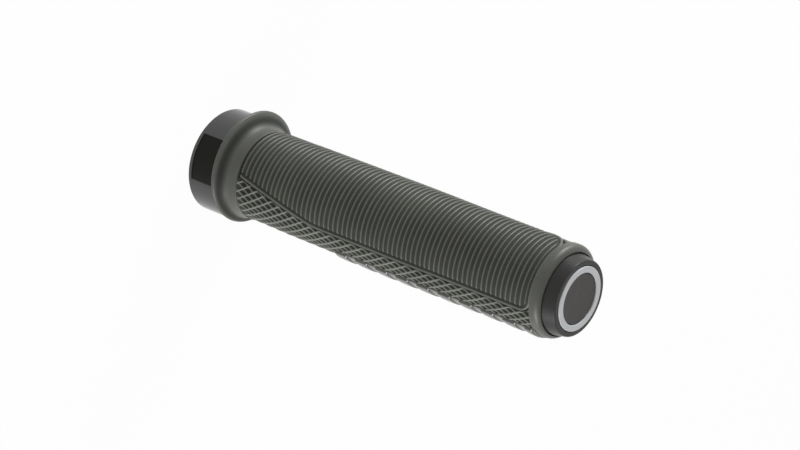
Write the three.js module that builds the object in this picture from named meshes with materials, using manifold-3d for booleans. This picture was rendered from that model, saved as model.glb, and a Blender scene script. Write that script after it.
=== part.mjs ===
// Lock-on handlebar grip, in millimetres: a moulded rubber sleeve on a nylon core tube, a split clamp
// ring that holds the core to the bar, and a bevelled cap with a light inlaid ring at the outer end.
// The bar's axis is Z. The clamp's inboard face is z = 0 and the grip stands on it, outboard end up.
// Angles go round the bar from +X towards +Y: the ribbed palm panel faces -Y, the finger pads +Y.
import * as THREE from "three";
import { mergeVertices } from "three/addons/utils/BufferGeometryUtils.js";
import Module from "manifold-3d";

const barDiameter = 22.2;
const barClearance = 0.15; // radial, round the bar
const fitGap = 0.3; // between pieces that are pressed or moulded together
const roundSegments = 48;

const clampLength = 10.2;
const clampWall = 5.45;
const clampChamfer = 0.15;
const slotWidth = 1.6;
const panelFrom = -18; // bare recessed panel on the clamp, in degrees
const panelTo = 35;
const panelMargin = 1.3; // rim left between the panel and the clamp's inboard face
const panelDepth = 0.2;

const screwDiameter = 3;
const screwHeadDiameter = 5.5;
const screwHeadHeight = 3;
const screwLength = 11;
const screwSeat = 4.2; // from the slot's middle to the underside of the screw's head
const socketWidth = 2.5; // across the flats
const socketDepth = 1.6;

const coreWall = 1;
const tabCount = 3;
const tabWidth = 26; // degrees
const tabLength = 2.2;

const sleeveLength = 125.2;
const sleeveSwell = 0.22; // fuller than a straight sleeve under the palm
const swellRun = 20; // length over which it grows, from the end of the cove
const swellLength = 34;
const taperRun = 46; // length over which it goes again, into the taper
const sleeveTaper = 0.15;
const sleeveLean = 0.25; // the outer end of the pattern lies this far off the axis, towards -Y
const rubberWall = 0.8; // under the deepest groove
const flangeOverhang = 1.5; // past the clamp
const flangeShift = 1.1; // the flange's centre lies this far from the bar's axis, towards -Y
const lipRise = 0.78; // from the sleeve's inboard end to the lip's crown
const lipDepth = 1.4; // radial, from the crown to the flat face beside the clamp
const lipDrop = 0.85; // radial, from the crown to the start of the cove
const coveStart = 0.85; // from the lip's crown to the start of the cove
const coveLength = 6.07;
const coveFootRise = 1.1; // each rise is measured from the floor of the knurling
const stepDepth = 0.45; // fine groove between the cove and the pattern
const stepWidth = 0.4;
const patternMargin = 0.65; // from the middle of that groove to the first row of the pattern

const ribPitch = 1.75;
const ribRise = 1.15;
const ribDepth = 0.65;
const beadRise = 1.25;
const beadHalfWidth = 3.2; // degrees
const seamAngle = 39.5; // where the panel's lower bead runs straight
const seamStart = 12; // where that bead leaves the cove
const seamSlope = 0.9; // degrees for each millimetre
const seamBlend = 3; // degrees over which the slope runs out
const farSeamAngle = -115; // the upper bead, on the far side
const cornerRadius = 3.5;
const farCornerLength = 40;
const farCornerTurn = 65; // degrees

const knurlPitch = 4.25; // length of one diamond
const knurlDepth = 0.9;
const padFrom = 68;
const padTo = 205;
const padEdge = 3; // degrees from a pad's foot to its top
const firstPad = 46.2; // from the sleeve's inboard end
const padPitch = 8;
const padLength = 5.4;
const padSlope = 0.5;
const padRise = 1.6;
const padFloorRise = 1.1;

const collarLength = 1;
const collarRise = 0.83;
const collarShift = 0.4; // the collar's centre lies this far from the bar's axis, towards -Y
const collarStep = 0.5; // length of the slope from the pattern up to the collar
const noseLength = 1.9;

const capInset = 0.6; // the cap's shoulder lies this far inside the sleeve's end
const capBand = 0.4;
const capLedge = 0.1; // the head is this much wider than the core
const capHeight = 4.62; // shoulder to face
const capTaper = 0.95; // base radius of the cone less the radius of the face
const capEdge = 0.3;
const spigotLength = 8.1;
const spigotWall = 1.75;
const capFloor = 1.5; // left above the hollow of the spigot

const ringOuterRadius = 9.76;
const ringWidth = 1.86;
const ringThickness = 0.8;
const ringProud = 0.28; // above the cap's face
const ringGap = 0.25;

const boreRadius = barDiameter / 2 + barClearance;
const clampRadius = boreRadius + clampWall;
const coreRadius = boreRadius + coreWall;
const sleeveBore = coreRadius + fitGap;
const sleeveMouth = sleeveBore + capLedge; // round the cap's head
const knurlFloor = sleeveBore + rubberWall;
const flangeRadius = clampRadius + flangeOverhang;
const sleeveStart = clampLength + fitGap;
const sleeveEnd = sleeveStart + sleeveLength;
const lipHeight = sleeveStart + lipRise;
const coveEnd = lipHeight + coveStart + coveLength;
const patternStart = coveEnd + stepWidth + patternMargin;
const collarStart = sleeveEnd - noseLength - collarLength;
const patternEnd = collarStart - collarStep;
const coreEnd = sleeveEnd - capInset - fitGap;
const capShoulder = sleeveEnd - capInset;
const capFace = capShoulder + capHeight;

const wasm = await Module();
wasm.setup();

function solid(geometry) {
  const bare = geometry.clone();
  bare.deleteAttribute("normal");
  bare.deleteAttribute("uv");
  const merged = mergeVertices(bare, 1e-4);
  const vertProperties = merged.getAttribute("position").array;
  const triVerts = new Uint32Array(merged.index.array);
  return new wasm.Manifold(new wasm.Mesh({ numProp: 3, vertProperties, triVerts }));
}

function surface(manifold) {
  const { vertProperties, triVerts } = manifold.getMesh();
  const geometry = new THREE.BufferGeometry();
  geometry.setAttribute("position", new THREE.BufferAttribute(vertProperties, 3));
  geometry.setIndex(new THREE.BufferAttribute(triVerts, 1));
  return geometry.toNonIndexed();
}

// A turned solid about Z, from its closed outline of [radius, z] points.
function turned(outline, segments = roundSegments) {
  const points = outline.map(([r, z]) => new THREE.Vector2(r, z));
  return solid(new THREE.LatheGeometry(points, segments).rotateX(Math.PI / 2));
}

// A block bent round Z, between two radii, two angles and two heights.
function sector(inner, outer, from, to, bottom, top) {
  const [a, b] = [from, to].map(THREE.MathUtils.degToRad);
  const shape = new THREE.Shape();
  shape.absarc(0, 0, outer, a, b, false);
  shape.absarc(0, 0, inner, b, a, true);
  shape.closePath();
  const settings = { depth: top - bottom, bevelEnabled: false, curveSegments: 12 };
  return solid(new THREE.ExtrudeGeometry(shape, settings).translate(0, 0, bottom));
}

// A rod along Y across the clamp, at the middle of its wall and of its length.
function crossRod(radius, from, to, sides = 24) {
  const rod = new THREE.CylinderGeometry(radius, radius, to - from, sides);
  return solid(rod.translate(-(boreRadius + clampRadius) / 2, (from + to) / 2, clampLength / 2));
}

function tabs(inner, outer, extraWidth, bottom, top) {
  const spare = THREE.MathUtils.radToDeg(extraWidth / coreRadius);
  const half = tabWidth / 2 + spare;
  return Array.from({ length: tabCount }, (_, i) => (i * 360) / tabCount)
    .map((middle) => sector(inner, outer, middle - half, middle + half, bottom, top))
    .reduce((all, tab) => all.add(tab));
}

// Split ring that a socket screw closes on the bar; pockets in its outer face take the core's tabs.
function clampRing() {
  const [inner, outer, c] = [boreRadius, clampRadius, clampChamfer];
  const reach = clampWall + 1;
  const slot = new THREE.BoxGeometry(2 * reach, slotWidth, clampLength + 2)
    .translate(-clampRadius, 0, clampLength / 2);
  return turned([
    [inner + c / 2, 0], [outer - c, 0], [outer, c], [outer, clampLength - c / 2],
    [outer - c / 2, clampLength], [inner + c / 2, clampLength], [inner, clampLength - c / 2],
    [inner, c / 2], [inner + c / 2, 0],
  ])
    .subtract(solid(slot))
    .subtract(crossRod(screwDiameter / 2 + fitGap, screwSeat - screwLength - 1, screwSeat + 1))
    .subtract(crossRod(screwHeadDiameter / 2 + fitGap, screwSeat, clampRadius))
    .subtract(tabs(boreRadius - 1, coreRadius + fitGap, fitGap, clampLength - tabLength - fitGap,
      clampLength + 1))
    .subtract(sector(clampRadius - panelDepth, clampRadius + 1, panelFrom, panelTo,
      panelMargin, clampLength - fitGap));
}

function clampScrew() {
  const seat = screwSeat + fitGap / 2;
  const top = seat + screwHeadHeight;
  return crossRod(screwDiameter / 2, seat - screwLength, seat + 0.5)
    .add(crossRod(screwHeadDiameter / 2, seat, top))
    .subtract(crossRod(socketWidth / Math.sqrt(3), top - socketDepth, top + 1, 6));
}

// Tube that carries the rubber; its tabs reach into the clamp so that the two can't turn apart.
function coreTube() {
  const bottom = clampLength - tabLength;
  const between = 360 / tabCount;
  const gaps = Array.from({ length: tabCount }, (_, i) => i * between + tabWidth / 2)
    .map((from) => sector(boreRadius - 1, coreRadius + 1, from, from + between - tabWidth,
      bottom - 1, sleeveStart))
    .reduce((all, gap) => all.add(gap));
  return turned([
    [boreRadius, bottom], [coreRadius, bottom], [coreRadius, coreEnd], [boreRadius, coreEnd],
    [boreRadius, bottom],
  ]).subtract(gaps);
}

function softMin(a, b, blend) {
  const h = Math.max(blend - Math.abs(a - b), 0) / blend;
  return Math.min(a, b) - (h * h * blend) / 4;
}

// The two beads that bound the ribbed panel, as angles at a height.
function nearSeam(z) {
  const straight = softMin(seamStart + seamSlope * (z - patternStart), seamAngle, seamBlend);
  const into = Math.min(Math.max((z - (patternEnd - cornerRadius)) / cornerRadius, 0), 1);
  const turn = cornerRadius * (1 - Math.sqrt(1 - into * into));
  return straight - THREE.MathUtils.radToDeg(turn / (knurlFloor + ribRise));
}

function farSeam(z) {
  const straight = softMin(seamStart + seamSlope * (z - patternStart), seamAngle, seamBlend);
  const into = Math.min(Math.max((z - (patternEnd - farCornerLength)) / farCornerLength, 0), 1);
  return farSeamAngle + seamAngle - straight + farCornerTurn * (1 - Math.sqrt(1 - into * into));
}

// How far a shift of the rubber's centre towards -Y carries its surface out, at an angle.
function carried(shift, angle) {
  return -shift * Math.sin(THREE.MathUtils.degToRad(angle));
}

// The pattern's own rise above a straight sleeve: its swell, its taper and its lean.
function fullness(z, angle) {
  const full = coveEnd + swellRun;
  const rise = sleeveSwell * THREE.MathUtils.smoothstep(z, coveEnd, full);
  const fall = (sleeveSwell + sleeveTaper)
    * THREE.MathUtils.smoothstep(z, full + swellLength, full + swellLength + taperRun);
  return rise - fall + carried(sleeveLean, angle) * (z - coveEnd) / (patternEnd - coveEnd);
}

function coveStations(angle) {
  const crown = flangeRadius + carried(flangeShift, angle);
  const foot = knurlFloor + coveFootRise;
  const shoulder = crown - lipDrop;
  const lip = [
    [crown - lipDepth, sleeveStart], [crown - 0.29 * lipDepth, sleeveStart + 0.29 * lipRise],
    [crown, lipHeight], [crown - 0.25 * lipDrop, lipHeight + 0.5 * coveStart],
    [shoulder, lipHeight + coveStart],
  ];
  const cove = [0.2, 0.4, 0.6, 0.8, 1].map((u) => [
    foot + (shoulder - foot) * (1 - u) ** 2.2, lipHeight + coveStart + u * coveLength,
  ]);
  return [...lip, ...cove, [foot - stepDepth, coveEnd + stepWidth]];
}

function noseStations(angle) {
  const collar = knurlFloor + collarRise + carried(collarShift, angle);
  const drop = collar - sleeveMouth;
  const seat = capShoulder - fitGap;
  return [
    [collar, collarStart], [collar, sleeveEnd - noseLength],
    [collar - 0.17 * drop, sleeveEnd - 0.5 * noseLength],
    [collar - 0.47 * drop, sleeveEnd - 0.21 * noseLength],
    [collar - 0.78 * drop, sleeveEnd - 0.05 * noseLength], [collar - 0.93 * drop, sleeveEnd],
    [sleeveMouth, sleeveEnd - 0.05 * noseLength], [sleeveMouth, seat], [sleeveBore, seat],
  ];
}

const ribCount = Math.floor((patternEnd - patternStart - ribPitch) / ribPitch);
const firstRib = patternEnd - ribPitch - (ribCount - 1) * ribPitch;

function ribRows() {
  const crest = knurlFloor + ribRise;
  const floor = crest - ribDepth;
  const rows = [[crest, patternStart], [floor, (patternStart + firstRib) / 2]];
  for (let i = 0; i < ribCount; i++) {
    rows.push([crest, firstRib + i * ribPitch], [floor, firstRib + (i + 0.5) * ribPitch]);
  }
  return [...rows, [floor, patternEnd]];
}

function knurlRows(column, end) {
  const rows = [];
  for (let i = 0; patternStart + (i * knurlPitch) / 2 < end; i++) {
    const high = (i + column) % 2 === 0;
    rows.push([knurlFloor + (high ? knurlDepth : 0), patternStart + (i * knurlPitch) / 2]);
  }
  return rows;
}

function padRows(column) {
  const start = sleeveStart + firstPad;
  const [floor, top] = [knurlFloor + padFloorRise, knurlFloor + padRise];
  const rows = knurlRows(column, start - knurlPitch / 4);
  for (let z = start; z < patternEnd - 2 * padSlope; z += padPitch) {
    const end = Math.min(z + padLength, patternEnd);
    rows.push([floor, z], [top, z + padSlope], [top, end - padSlope], [floor, end]);
  }
  return rows;
}

// The pattern's columns in order round the bar. Each has an angle for each height and its own rows.
function patternColumns() {
  const columns = [];
  const flat = (radius) => ribRows().map(([, z]) => [radius, z]);
  const ribFloor = knurlFloor + ribRise - ribDepth;
  const foot = (rise) => (z) => (rise > 0 ? farSeam(z) : nearSeam(z)) + rise * beadHalfWidth;
  columns.push({ angle: farSeam, rows: flat(knurlFloor + beadRise) });
  columns.push({ angle: foot(1), rows: flat(ribFloor) });
  const ribColumns = 11;
  for (let i = 0; i <= ribColumns; i++) {
    const rest = THREE.MathUtils.lerp(farSeamAngle, seamAngle, i / ribColumns);
    const angle = (z) => THREE.MathUtils.clamp(rest, foot(2)(z) + i, foot(-2)(z) - ribColumns + i);
    columns.push({ angle, rows: ribRows() });
  }
  columns.push({ angle: foot(-1), rows: flat(ribFloor) });
  columns.push({ angle: nearSeam, rows: flat(knurlFloor + beadRise) });

  const groove = 0.7 * beadHalfWidth;
  const sideColumns = 10;
  const padColumns = 17;
  const widest = seamStart + groove;
  const side = (share) => (z) => Math.max(THREE.MathUtils.lerp(widest, padFrom, share),
    nearSeam(z) + groove + share * sideColumns);
  const farSide = (share) => (z) => THREE.MathUtils.lerp(padTo, farSeam(z) + 360 - groove, share);
  const plain = knurlRows(0, patternEnd).map(([, z]) => [knurlFloor, z]);
  columns.push({ angle: side(0), rows: plain });
  for (let i = 1; i <= sideColumns; i++) {
    columns.push({ angle: side(i / sideColumns), rows: knurlRows(i, patternEnd) });
  }
  for (let i = 0; i <= padColumns; i++) {
    const angle = THREE.MathUtils.lerp(padFrom + padEdge, padTo - padEdge, i / padColumns);
    columns.push({ angle: () => angle, rows: padRows(i + 1) });
  }
  for (let i = 0; i < sideColumns; i++) {
    columns.push({ angle: farSide(i / sideColumns), rows: knurlRows(i, patternEnd) });
  }
  columns.push({ angle: farSide(1), rows: plain });
  return columns;
}

// Rubber sleeve: off-centre flange, cove, ribbed panel in a bead, diamond knurling, pads and collar.
// Each column is one closed loop of stations, out along the surface and back down the bore. Four
// stations that face each other are split along their higher diagonal, so ridges stay unbroken.
function rubberSleeve() {
  const vertices = [];
  const loops = patternColumns().map(({ angle, rows }) => {
    const loop = [];
    const add = (radius, z, degrees, order) => {
      const a = THREE.MathUtils.degToRad(degrees);
      loop.push({ order, radius, index: vertices.length / 3 });
      vertices.push(radius * Math.cos(a), radius * Math.sin(a), z);
    };
    const [start, end] = [angle(patternStart), angle(patternEnd)];
    const straight = (start + end) / 2;
    add(sleeveBore, sleeveStart, straight, -100);
    const count = coveStations(start).length;
    for (let i = 0; i < count; i++) {
      const turn = THREE.MathUtils.lerp(straight, start, i / (count - 1));
      add(...coveStations(turn)[i], turn, i - 50);
    }
    rows.forEach(([r, z]) => add(r + fullness(z, angle(z)), z, angle(z), z));
    for (let i = 0, last = noseStations(end).length - 1; i <= last; i++) {
      const turn = THREE.MathUtils.lerp(end, straight, i / last);
      add(...noseStations(turn)[i], turn, 1e3 + i);
    }
    loop.push({ ...loop[0], order: 2e3 });
    return loop;
  });
  const faces = [];
  loops.forEach((near, n) => {
    const far = loops[(n + 1) % loops.length];
    let [i, j] = [0, 0];
    while (i < near.length - 1 || j < far.length - 1) {
      const [nextNear, nextFar] = [near[i + 1], far[j + 1]];
      const lead = nextNear && nextFar ? nextNear.order - nextFar.order : nextNear ? -1 : 1;
      const level = near[i].radius + nextFar?.radius <= far[j].radius + nextNear?.radius;
      if (lead < 0 || (lead === 0 && level)) {
        faces.push(near[i].index, far[j].index, nextNear.index);
        i += 1;
      } else {
        faces.push(near[i].index, far[j].index, nextFar.index);
        j += 1;
      }
    }
  });
  const geometry = new THREE.BufferGeometry();
  geometry.setAttribute("position", new THREE.Float32BufferAttribute(vertices, 3));
  geometry.setIndex(faces);
  return geometry.toNonIndexed();
}

// Cap that closes the outer end: a hollow spigot in the core's bore under a bevelled head.
function endCap() {
  const spigot = boreRadius - fitGap;
  const hollow = spigot - spigotWall;
  const foot = capShoulder - spigotLength;
  const base = coreRadius + capLedge;
  const face = base - capTaper;
  const grooveFloor = capFace + ringProud - ringThickness - ringGap;
  const grooveInner = ringOuterRadius - ringWidth - ringGap;
  return turned([
    [0, capFace - capFloor - ringThickness], [hollow, capFace - capFloor - ringThickness],
    [hollow, foot], [spigot - capEdge, foot], [spigot, foot + capEdge], [spigot, capShoulder],
    [base, capShoulder], [base, capShoulder + capBand],
    [face + capEdge / 2, capFace - capEdge], [face, capFace - capEdge / 4],
    [face - capEdge, capFace], [ringOuterRadius + ringGap, capFace],
    [ringOuterRadius + ringGap, grooveFloor], [grooveInner, grooveFloor],
    [grooveInner, capFace], [0, capFace],
  ]);
}

function capRing() {
  const [inner, outer] = [ringOuterRadius - ringWidth, ringOuterRadius];
  const top = capFace + ringProud;
  const edge = ringProud / 3;
  return turned([
    [inner, top - ringThickness], [outer, top - ringThickness], [outer, top - edge],
    [outer - edge, top], [inner + edge, top], [inner, top - edge], [inner, top - ringThickness],
  ]);
}

const finishes = {
  rubber: { color: 0x474943, roughness: 0.85, metalness: 0 },
  anodised: { color: 0x161616, roughness: 0.22, metalness: 0.9 },
  steel: { color: 0x2b2b2d, roughness: 0.35, metalness: 0.9 },
  nylon: { color: 0x232323, roughness: 0.6, metalness: 0 },
  cap: { color: 0x3a3836, roughness: 0.4, metalness: 0 },
  inlay: { color: 0xb9bbbe, roughness: 0.35, metalness: 0.2 },
};

const grip = new THREE.Group();
function place(name, geometry, finish) {
  geometry.computeVertexNormals();
  const mesh = new THREE.Mesh(geometry, new THREE.MeshStandardMaterial(finishes[finish]));
  mesh.name = name;
  grip.add(mesh);
}
place("clamp_ring", surface(clampRing()), "anodised");
place("clamp_screw", surface(clampScrew()), "steel");
place("core_tube", surface(coreTube()), "nylon");
place("rubber_sleeve", rubberSleeve(), "rubber");
place("end_cap", surface(endCap()), "cap");
place("cap_ring", surface(capRing()), "inlay");

export default grip;
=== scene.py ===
import math

import bmesh
import bpy
from mathutils import Matrix, Vector


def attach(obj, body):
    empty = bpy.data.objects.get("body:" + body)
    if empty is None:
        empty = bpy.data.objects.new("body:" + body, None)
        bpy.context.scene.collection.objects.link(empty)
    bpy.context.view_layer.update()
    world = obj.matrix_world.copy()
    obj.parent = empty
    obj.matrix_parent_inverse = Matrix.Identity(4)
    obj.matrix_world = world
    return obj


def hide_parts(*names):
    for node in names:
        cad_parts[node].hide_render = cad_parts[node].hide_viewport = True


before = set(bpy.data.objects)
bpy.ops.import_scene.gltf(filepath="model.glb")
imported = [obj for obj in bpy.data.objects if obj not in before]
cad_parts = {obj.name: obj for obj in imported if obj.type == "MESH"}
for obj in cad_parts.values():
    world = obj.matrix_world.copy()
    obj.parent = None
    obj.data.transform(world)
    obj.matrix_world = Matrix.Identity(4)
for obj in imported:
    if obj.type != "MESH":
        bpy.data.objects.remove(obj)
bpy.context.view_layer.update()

# Lock-on handlebar grip. Sizes are in millimetres and in degrees round the bar, from +X towards +Y,
# and each mesh is made in metres where it belongs. The bar's axis is Z and the clamp stands on z = 0.
millimetre = 0.001
mergeDistance = 1e-7  # metres
besideArc = 0.3  # of the fillet


# Formulas as nodes. A Field is one value of a node tree, so a shape or a colour can be written out.
def operator(operation, swapped=False):
    def apply(self, other):
        values = (other, self) if swapped else (self, other)
        return maths(self.tree, operation, *values)
    return apply


class Field:
    __add__ = operator("ADD")
    __radd__ = operator("ADD", True)
    __sub__ = operator("SUBTRACT")
    __rsub__ = operator("SUBTRACT", True)
    __mul__ = operator("MULTIPLY")
    __rmul__ = operator("MULTIPLY", True)
    __truediv__ = operator("DIVIDE")
    __pow__ = operator("POWER")

    def __init__(self, tree, socket):
        self.tree = tree
        self.socket = socket


def feed(tree, socket, value):
    if isinstance(value, Field):
        value = value.socket
    if isinstance(value, bpy.types.NodeSocket):
        tree.links.new(value, socket)
    else:
        socket.default_value = value


def addNode(tree, kind, inputs=None, **settings):
    node = tree.nodes.new(kind)
    for key, value in settings.items():
        setattr(node, key, value)
    for key, value in (inputs or {}).items():
        feed(tree, node.inputs[key], value)
    return node


def maths(tree, operation, *values):
    node = addNode(tree, "ShaderNodeMath", operation=operation)
    for socket, value in zip(node.inputs, values):
        feed(tree, socket, value)
    return Field(tree, node.outputs["Value"])


def lesser(a, b):
    return maths(a.tree, "MINIMUM", a, b)


def larger(a, b):
    return maths(a.tree, "MAXIMUM", a, b)


def below(a, b):
    return maths((a if isinstance(a, Field) else b).tree, "LESS_THAN", a, b)


def root(a):
    return maths(a.tree, "SQRT", a)


def ease(value, start, end, low=0.0, high=1.0, kind="SMOOTHSTEP"):
    inputs = {"Value": value, "From Min": start, "From Max": end, "To Min": low, "To Max": high}
    node = addNode(value.tree, "ShaderNodeMapRange", inputs, interpolation_type=kind)
    return Field(value.tree, node.outputs["Result"])


# Objects and meshes.
def addPiece(name, data):
    piece = bpy.data.objects.new(name, data)
    bpy.context.scene.collection.objects.link(piece)
    return piece


def applyModifiers(piece):
    bpy.context.view_layer.update()
    evaluated = piece.evaluated_get(bpy.context.evaluated_depsgraph_get())
    mesh = bpy.data.meshes.new_from_object(evaluated)
    piece.modifiers.clear()
    piece.data = mesh


# Geometry Nodes: a tree takes each size as a named input and gives one mesh.
def startTree(name, sizes):
    tree = bpy.data.node_groups.new(name, "GeometryNodeTree")
    tree.interface.new_socket("Geometry", in_out="OUTPUT", socket_type="NodeSocketGeometry")
    for key, value in sizes.items():
        kind = "NodeSocketInt" if isinstance(value, int) else "NodeSocketFloat"
        tree.interface.new_socket(key, in_out="INPUT", socket_type=kind).default_value = value
    tree.interface.new_socket("material", in_out="INPUT", socket_type="NodeSocketMaterial")
    entry = tree.nodes.new("NodeGroupInput")
    return tree, {key: Field(tree, entry.outputs[key]) for key in sizes}, entry.outputs["material"]


def unitGrid(tree, across, along):
    grid = addNode(tree, "GeometryNodeMeshGrid",
                   {"Size X": 1.0, "Size Y": 1.0, "Vertices X": across, "Vertices Y": along})
    place = addNode(tree, "ShaderNodeSeparateXYZ",
                    {"Vector": tree.nodes.new("GeometryNodeInputPosition").outputs["Position"]})
    u = Field(tree, place.outputs["X"]) + 0.5
    v = Field(tree, place.outputs["Y"]) + 0.5
    return grid.outputs["Mesh"], u, v


def store(tree, geometry, name, value):
    node = addNode(tree, "GeometryNodeStoreNamedAttribute",
                   {"Geometry": geometry, "Name": name, "Value": value},
                   data_type="FLOAT", domain="POINT")
    return node.outputs["Geometry"]


def stored(tree, name):
    node = addNode(tree, "GeometryNodeInputNamedAttribute", {"Name": name}, data_type="FLOAT")
    return Field(tree, node.outputs["Attribute"])


def onBar(turn, radius, height):
    tree = turn.tree
    angle = turn * (math.pi / 180)
    point = addNode(tree, "ShaderNodeCombineXYZ", {
        "X": radius * maths(tree, "COSINE", angle) * millimetre,
        "Y": radius * maths(tree, "SINE", angle) * millimetre,
        "Z": height * millimetre,
    })
    return point.outputs["Vector"]


def closeSheet(tree, sheet, base, radius):
    # The sheet's own turn and height place it at the base radius; a copy is lifted to its shape.
    turn, height = stored(tree, "turn"), stored(tree, "height")
    low = addNode(tree, "GeometryNodeSetPosition",
                  {"Geometry": sheet, "Position": onBar(turn, base, height)}).outputs["Geometry"]
    walls = addNode(tree, "GeometryNodeExtrudeMesh",
                    {"Mesh": low, "Offset Scale": 0.0, "Individual": False}, mode="FACES")
    top = addNode(tree, "GeometryNodeSetPosition",
                  {"Geometry": walls.outputs["Mesh"], "Selection": walls.outputs["Top"],
                   "Position": onBar(turn, radius, height)}).outputs["Geometry"]
    under = addNode(tree, "GeometryNodeFlipFaces", {"Mesh": low}).outputs["Mesh"]
    both = tree.nodes.new("GeometryNodeJoinGeometry")
    tree.links.new(under, both.inputs["Geometry"])
    tree.links.new(top, both.inputs["Geometry"])
    closed = addNode(tree, "GeometryNodeMergeByDistance",
                     {"Geometry": both.outputs["Geometry"], "Distance": mergeDistance})
    return closed.outputs["Geometry"]


def forget(tree, geometry, *names):
    for name in names:
        geometry = addNode(tree, "GeometryNodeRemoveAttribute",
                           {"Geometry": geometry, "Name": name}).outputs["Geometry"]
    return geometry


def endTree(tree, geometry, material):
    geometry = forget(tree, geometry, "turn", "height")
    smooth = addNode(tree, "GeometryNodeSetShadeSmooth", {"Geometry": geometry})
    real = addNode(tree, "GeometryNodeRealizeInstances", {"Geometry": smooth.outputs["Geometry"]})
    dressed = addNode(tree, "GeometryNodeSetMaterial",
                      {"Geometry": real.outputs["Geometry"], "Material": material})
    output = tree.nodes.new("NodeGroupOutput")
    tree.links.new(dressed.outputs["Geometry"], output.inputs["Geometry"])


def grow(name, tree, sizes, material):
    piece = addPiece(name, bpy.data.meshes.new(name))
    modifier = piece.modifiers.new(name, "NODES")
    modifier.node_group = tree
    for item in tree.interface.items_tree:
        if item.in_out == "INPUT":
            modifier[item.identifier] = material if item.name == "material" else sizes[item.name]
    applyModifiers(piece)
    return piece


# Mesh code for turned pieces.
def rounded(corners, steps=5):
    # An outline from (radius, height, fillet) corners. A point beside each arc keeps the flats flat.
    outline = []
    for i, (radius, height, fillet) in enumerate(corners):
        corner = Vector((radius, height))
        if not fillet:
            outline.append(tuple(corner))
            continue
        back = (Vector(corners[i - 1][:2]) - corner).normalized()
        ahead = (Vector(corners[(i + 1) % len(corners)][:2]) - corner).normalized()
        half = back.angle(ahead) / 2
        reach = fillet / math.tan(half)
        centre = corner + (back + ahead).normalized() * fillet / math.sin(half)
        first, last = corner + back * reach - centre, corner + ahead * reach - centre
        turn = first.angle_signed(last)
        beside = reach + besideArc * fillet
        outline.append(tuple(corner + back * beside))
        for step in range(steps + 1):
            outline.append(tuple(centre + Matrix.Rotation(-turn * step / steps, 2) @ first))
        outline.append(tuple(corner + ahead * beside))
    return outline


def evenTurns(count):
    return [360 * i / count for i in range(count)]


def tidyMesh(mesh):
    work = bmesh.new()
    work.from_mesh(mesh)
    bmesh.ops.remove_doubles(work, verts=work.verts, dist=mergeDistance)
    bmesh.ops.recalc_face_normals(work, faces=work.faces)
    work.to_mesh(mesh)
    work.free()


def meshPiece(name, vertices, faces):
    mesh = bpy.data.meshes.new(name)
    mesh.from_pydata(vertices, [], faces)
    tidyMesh(mesh)
    return addPiece(name, mesh)


def spot(radius, angle, height):
    return (radius * math.cos(angle) * millimetre,
            radius * math.sin(angle) * millimetre, height * millimetre)


def turnedPiece(name, outline, turns, shape=None):
    # A closed outline of (radius, height) turned round Z; shape may move a point's radius.
    vertices, faces = [], []
    count = len(outline)
    for turn in turns:
        angle = math.radians(turn)
        for station, (radius, height) in enumerate(outline):
            if shape:
                radius = shape(radius, height, turn, station)
            vertices.append(spot(radius, angle, height))
    for i in range(len(turns)):
        near, far = i * count, (i + 1) % len(turns) * count
        for j in range(count):
            k = (j + 1) % count
            faces.append((near + j, far + j, far + k, near + k))
    return meshPiece(name, vertices, faces)


def arcBlock(name, inner, outer, fromTurn, toTurn, bottom, top, steps=24):
    vertices, faces = [], []
    for i in range(steps + 1):
        angle = math.radians(fromTurn + (toTurn - fromTurn) * i / steps)
        for radius, height in ((inner, bottom), (outer, bottom), (outer, top), (inner, top)):
            vertices.append(spot(radius, angle, height))
    for i in range(steps):
        for j in range(4):
            k = (j + 1) % 4
            faces.append((4 * i + j, 4 * i + 4 + j, 4 * i + 4 + k, 4 * i + k))
    faces += [(0, 1, 2, 3), (4 * steps + 3, 4 * steps + 2, 4 * steps + 1, 4 * steps)]
    return meshPiece(name, vertices, faces)


def straightRod(name, radius, start, end, sides):
    # A prism along Z, for cutting.
    outline = [(0, start), (radius, start), (radius, end), (0, end)]
    return turnedPiece(name, outline, evenTurns(sides))


def placeMesh(piece, matrix):
    piece.data.transform(matrix)
    return piece


def cutAway(piece, cutters):
    for cutter in cutters:
        modifier = piece.modifiers.new("cut", "BOOLEAN")
        modifier.operation = "DIFFERENCE"
        modifier.solver = "EXACT"
        modifier.object = cutter
        applyModifiers(piece)
        bpy.data.objects.remove(cutter)


def smoothPiece(piece, sharpest=38):
    piece.data.shade_smooth()
    piece.data.set_sharp_from_angle(angle=math.radians(sharpest))


def seat(piece, node, slot, *materials):
    for material in materials:
        piece.data.materials.append(material)
    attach(piece, "root")
    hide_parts(node)
    print(piece.name, len(piece.data.polygons), "faces")


# Shader groups, each built once and used with a material's own values.
def shaderGroup(name, inputs, outputs):
    group = bpy.data.node_groups.new(name, "ShaderNodeTree")
    for key, value in inputs.items():
        kind = "NodeSocketColor" if isinstance(value, tuple) else "NodeSocketFloat"
        group.interface.new_socket(key, in_out="INPUT", socket_type=kind).default_value = value
    for key, kind in outputs.items():
        group.interface.new_socket(key, in_out="OUTPUT", socket_type=kind)
    return group, group.nodes.new("NodeGroupInput"), group.nodes.new("NodeGroupOutput")


def noiseOf(tree, scale, detail, roughness=0.55):
    place = tree.nodes.new("ShaderNodeTexCoord").outputs["Object"]
    noise = addNode(tree, "ShaderNodeTexNoise",
                    {"Vector": place, "Scale": scale, "Detail": detail, "Roughness": roughness})
    return Field(tree, noise.outputs["Fac"])


# Ranges of noise, over which a mask goes from 0 to 1.
noiseRange = {
    "cloud": (0.3, 0.7),
    "pits": (0.32, 0.42),
    "grain": (0.35, 0.65),
    "patches": (0.35, 0.6),
}
pitScale = 0.22  # of the grain's scale
fineShare = 0.6


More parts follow.
